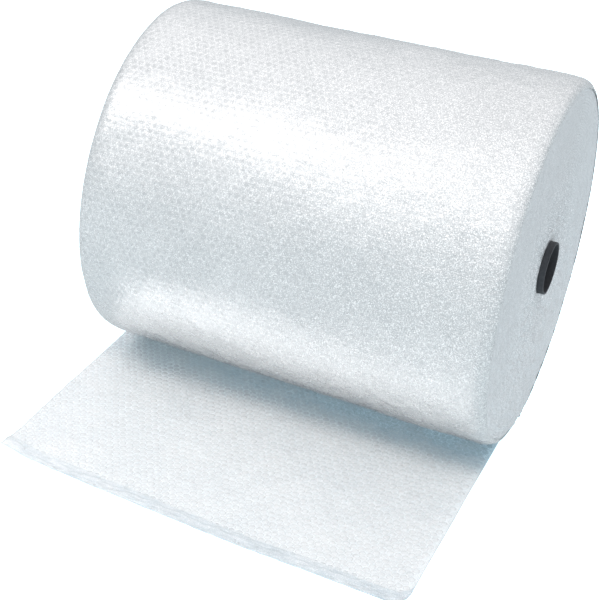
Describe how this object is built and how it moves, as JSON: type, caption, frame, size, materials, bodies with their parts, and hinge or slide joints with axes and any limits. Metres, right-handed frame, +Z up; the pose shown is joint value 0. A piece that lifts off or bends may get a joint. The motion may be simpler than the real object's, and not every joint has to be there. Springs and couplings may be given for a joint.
{
  "type": "bubble wrap roll",
  "caption": "Roll of bubble film on its side, its outer end drawn out flat in front, wound on a thin tube that takes a spindle.",
  "frame": {"origin": "on the floor, under the middle of the roll", "axes": "+X along the roll's axis, towards the end where the tube stands proud; -Y the way the loose end lies; +Z up"},
  "size_m": [0.6147, 0.749, 0.5159],
  "materials": {
    "film": "clear film that looks milky where its turns lie on each other, glossy",
    "core": "dark grey, dull"
  },
  "bodies": {
    "root": {"bubble_film": "film", "core_tube": "core"}
  },
  "joints": []
}
